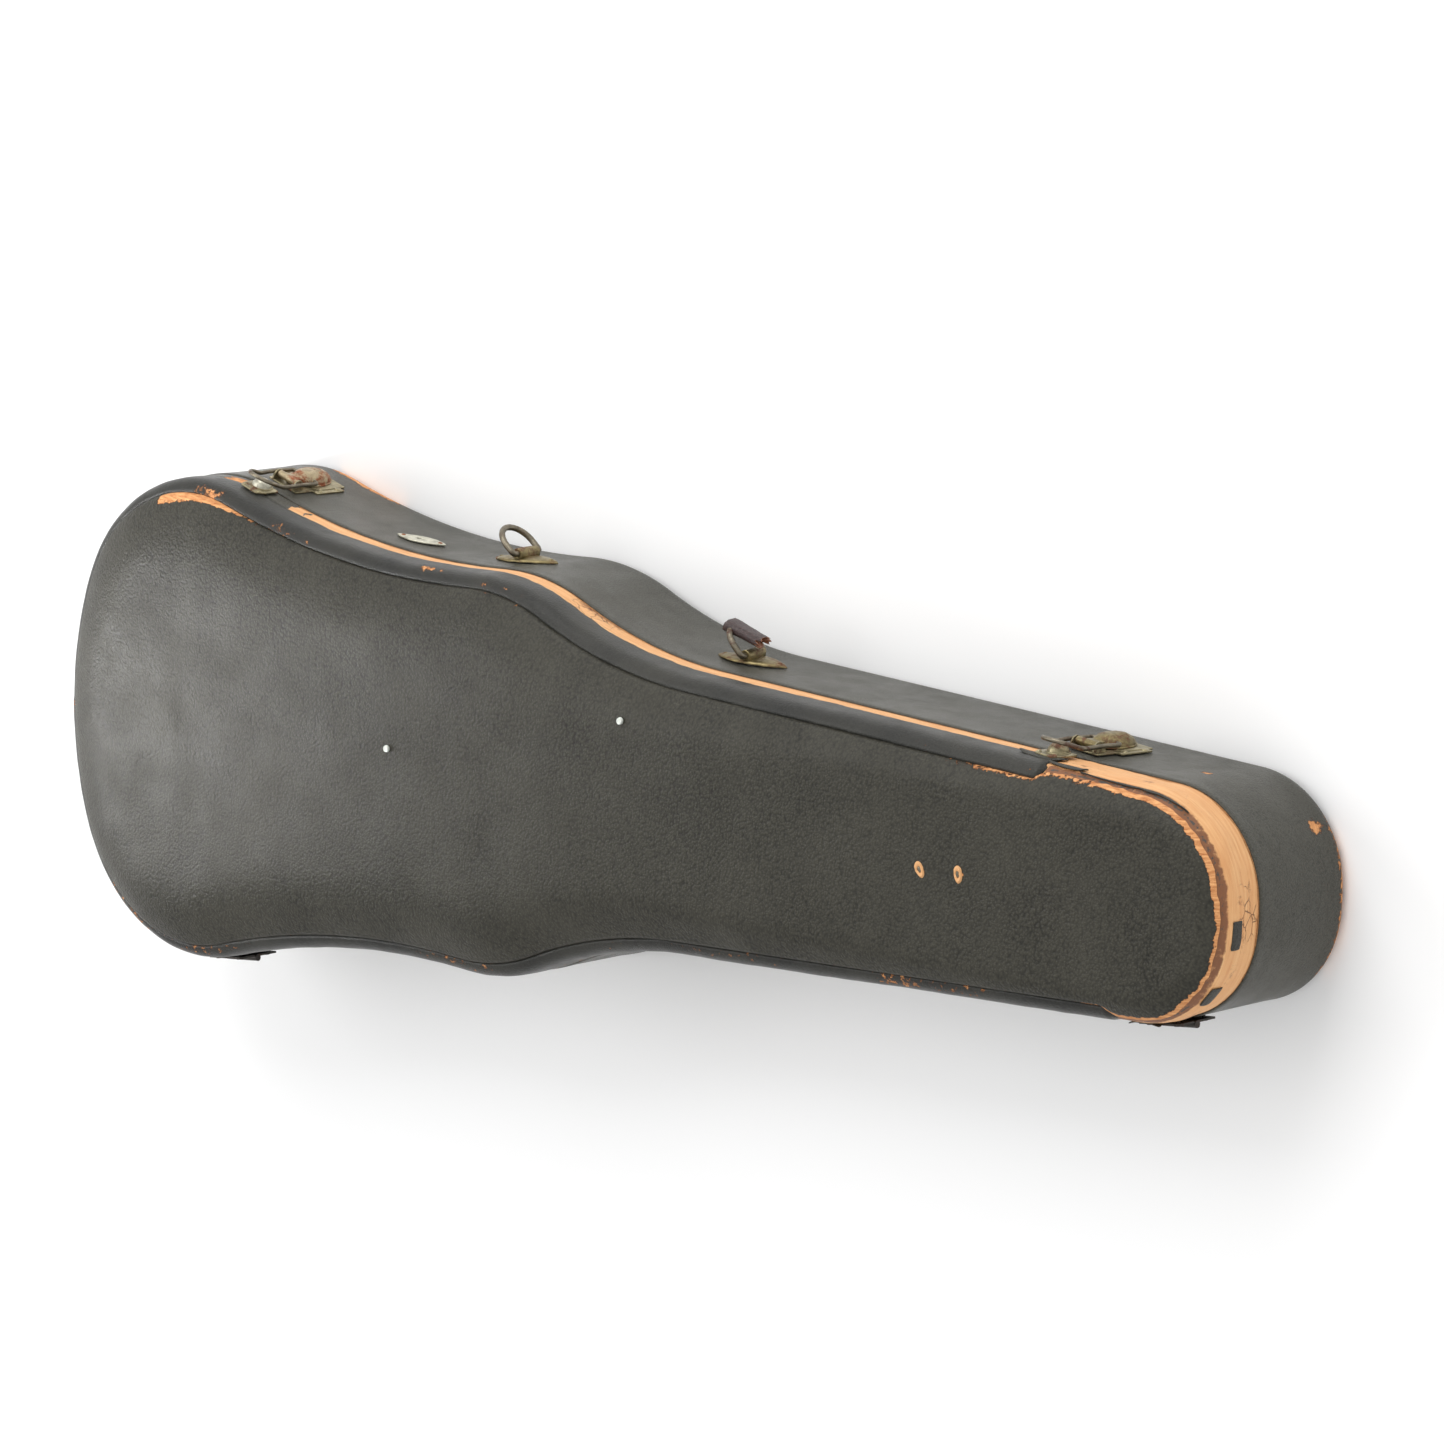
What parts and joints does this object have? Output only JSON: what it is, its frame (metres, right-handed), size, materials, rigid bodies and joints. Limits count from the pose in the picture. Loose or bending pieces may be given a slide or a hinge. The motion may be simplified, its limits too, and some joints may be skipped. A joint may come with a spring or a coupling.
{
  "type": "violin case",
  "caption": "Violin-shaped hard case with an arched lid on hinges, lever latches, a lock, handle rings, plush lining, bow holders and an accessory box.",
  "frame": {"origin": "middle of the case's length on its underside", "axes": "+X from the butt end to the nose, +Y to the handle side, +Z from the underside to the lid"},
  "size_m": [0.7899, 0.2673, 0.1099],
  "materials": {
    "wood": "bare, dry",
    "smooth_leatherette": "fine grained, worn",
    "pebbled_leatherette": "pebbled, worn",
    "rolled_edge": "smooth, semi-matt",
    "plush": "short pile",
    "leather": "dried, cracked",
    "turned_wood": "stained black",
    "lock_steel": "dull",
    "brass": "tarnished",
    "aged_nickel": "pitted, rust-stained"
  },
  "bodies": {
    "base": {"base_wall": "wood", "base_floor": "wood", "base_cover": "smooth_leatherette", "bottom_cover": "smooth_leatherette", "base_lining": "plush", "latch_plate_butt": "aged_nickel", "latch_plate_nose": "aged_nickel", "latch_pivot_pins": "aged_nickel", "latch_rivets": "aged_nickel", "escutcheon": "aged_nickel", "escutcheon_pins": "aged_nickel", "lock_body": "lock_steel", "handle_plate_butt": "aged_nickel", "handle_plate_nose": "aged_nickel", "handle_plate_tacks": "aged_nickel", "hinge_leaf_base_butt": "brass", "hinge_leaf_base_nose": "brass", "hinge_pins": "brass", "hinge_screws_base": "brass", "neck_rest": "plush", "accessory_partition": "wood", "accessory_brackets": "wood", "accessory_lid_pin": "aged_nickel", "accessory_ledges": "wood", "accessory_top": "plush"},
    "lid": {"lid_wall": "wood", "lid_panel": "wood", "lid_cover": "pebbled_leatherette", "lid_bead": "rolled_edge", "lid_lining": "plush", "bow_blocks": "wood", "bow_rivets": "aged_nickel", "latch_catch_butt": "aged_nickel", "latch_catch_nose": "aged_nickel", "latch_catch_rivets": "aged_nickel", "lock_strike": "lock_steel", "hinge_leaf_lid_butt": "brass", "hinge_leaf_lid_nose": "brass", "hinge_screws_lid": "brass"},
    "latch_butt_lever": {"latch_lever_butt": "aged_nickel"},
    "latch_nose_lever": {"latch_lever_nose": "aged_nickel"},
    "latch_butt_link": {"latch_link_butt": "aged_nickel"},
    "latch_nose_link": {"latch_link_nose": "aged_nickel"},
    "handle_ring_butt": {"handle_ring_butt": "aged_nickel"},
    "handle_ring_nose": {"handle_ring_nose": "aged_nickel", "handle_stub": "leather"},
    "lock_bolt": {"lock_bolt": "lock_steel"},
    "accessory_lid": {"accessory_lid": "plush", "accessory_tab": "leather"},
    "bow_toggle_butt": {"bow_toggle_butt": "turned_wood"},
    "bow_toggle_middle": {"bow_toggle_middle": "turned_wood"}
  },
  "joints": [
    {"name": "lid_hinge", "type": "hinge", "parent": "base", "child": "lid", "pos_m": [0.011, -0.09591, 0.06615], "axis": [0.9935, 0.1139, 0], "range_deg": [0, 105]},
    {"name": "latch_butt_lever_turn", "type": "hinge", "parent": "base", "child": "latch_butt_lever", "pos_m": [-0.26676, 0.1283, 0.054], "axis": [0.9555, -0.2951, 0], "range_deg": [0, 115]},
    {"name": "latch_butt_link_swing", "type": "hinge", "parent": "latch_butt_lever", "child": "latch_butt_link", "pos_m": [-0.26676, 0.1283, 0.042], "axis": [0.9555, -0.2951, 0], "range_deg": [-115, 0]},
    {"name": "handle_ring_butt_swing", "type": "hinge", "parent": "base", "child": "handle_ring_butt", "pos_m": [-0.10365, 0.1067, 0.04], "axis": [0.1391, 0.0047, 0.9903], "range_deg": [-120, 30]},
    {"name": "latch_nose_lever_turn", "type": "hinge", "parent": "base", "child": "latch_nose_lever", "pos_m": [0.28088, 0.06294, 0.05412], "axis": [0.989, -0.0501, 0.1392], "range_deg": [0, 115]},
    {"name": "latch_nose_link_swing", "type": "hinge", "parent": "latch_nose_lever", "child": "latch_nose_link", "pos_m": [0.28255, 0.06285, 0.04223], "axis": [0.989, -0.0501, 0.1392], "range_deg": [-115, 0]},
    {"name": "handle_ring_nose_swing", "type": "hinge", "parent": "base", "child": "handle_ring_nose", "pos_m": [0.0548, 0.07462, 0.04], "axis": [0.2074, -0.0139, 0.9781], "range_deg": [-15, 30]},
    {"name": "lock_bolt_slide", "type": "slide", "parent": "base", "child": "lock_bolt", "axis": [0, 0, 1], "range_m": [0, 0.004]},
    {"name": "accessory_lid_hinge", "type": "hinge", "parent": "base", "child": "accessory_lid", "pos_m": [0.222, 0, 0.0537], "axis": [0, -1, 0], "range_deg": [0, 100]},
    {"name": "bow_toggle_butt_turn", "type": "hinge", "parent": "lid", "child": "bow_toggle_butt", "pos_m": [-0.1325, 0.0088, 0.085], "axis": [0, 0, 1], "range_deg": [-90, 90]},
    {"name": "bow_toggle_middle_turn", "type": "hinge", "parent": "lid", "child": "bow_toggle_middle", "pos_m": [0.0286, 0.0446, 0.085], "axis": [0, 0, 1], "range_deg": [-90, 90]}
  ],
  "couplings": [
    {"joint": "latch_butt_link_swing", "follows": "latch_butt_lever_turn", "ratio": -1},
    {"joint": "latch_nose_link_swing", "follows": "latch_nose_lever_turn", "ratio": -1}
  ]
}
